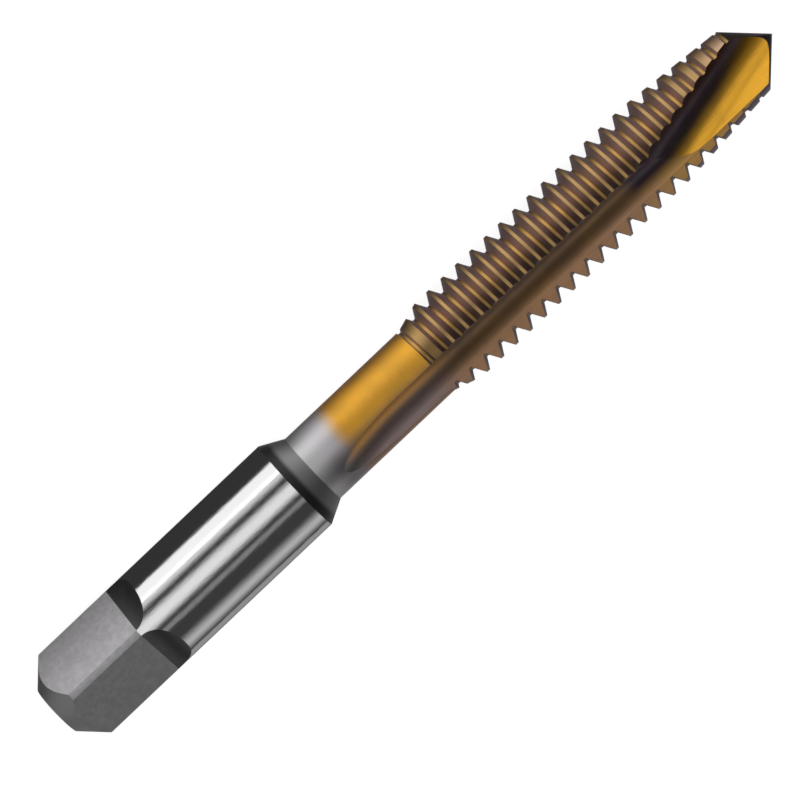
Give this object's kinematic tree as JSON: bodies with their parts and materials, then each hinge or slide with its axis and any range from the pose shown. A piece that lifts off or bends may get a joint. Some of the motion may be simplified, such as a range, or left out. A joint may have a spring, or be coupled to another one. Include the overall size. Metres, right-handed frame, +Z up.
{
  "type": "thread tap",
  "caption": "Spiral-point plug tap with a squared shank and a gold-coated thread, for cutting an internal thread.",
  "frame": {"origin": "on the tool axis, at the flat end face of the drive square", "axes": "+X along the tool axis from the drive square to the cutting point, +Z up with the tool lying on its side, one flute resting on the ground and the other looking up"},
  "size_m": [0.0635, 0.0068, 0.0068],
  "materials": {
    "tool_steel": "ground and polished high speed steel, with a gold titanium nitride coat from the neck to the point"
  },
  "bodies": {
    "root": {"tap": "tool_steel"}
  },
  "joints": []
}
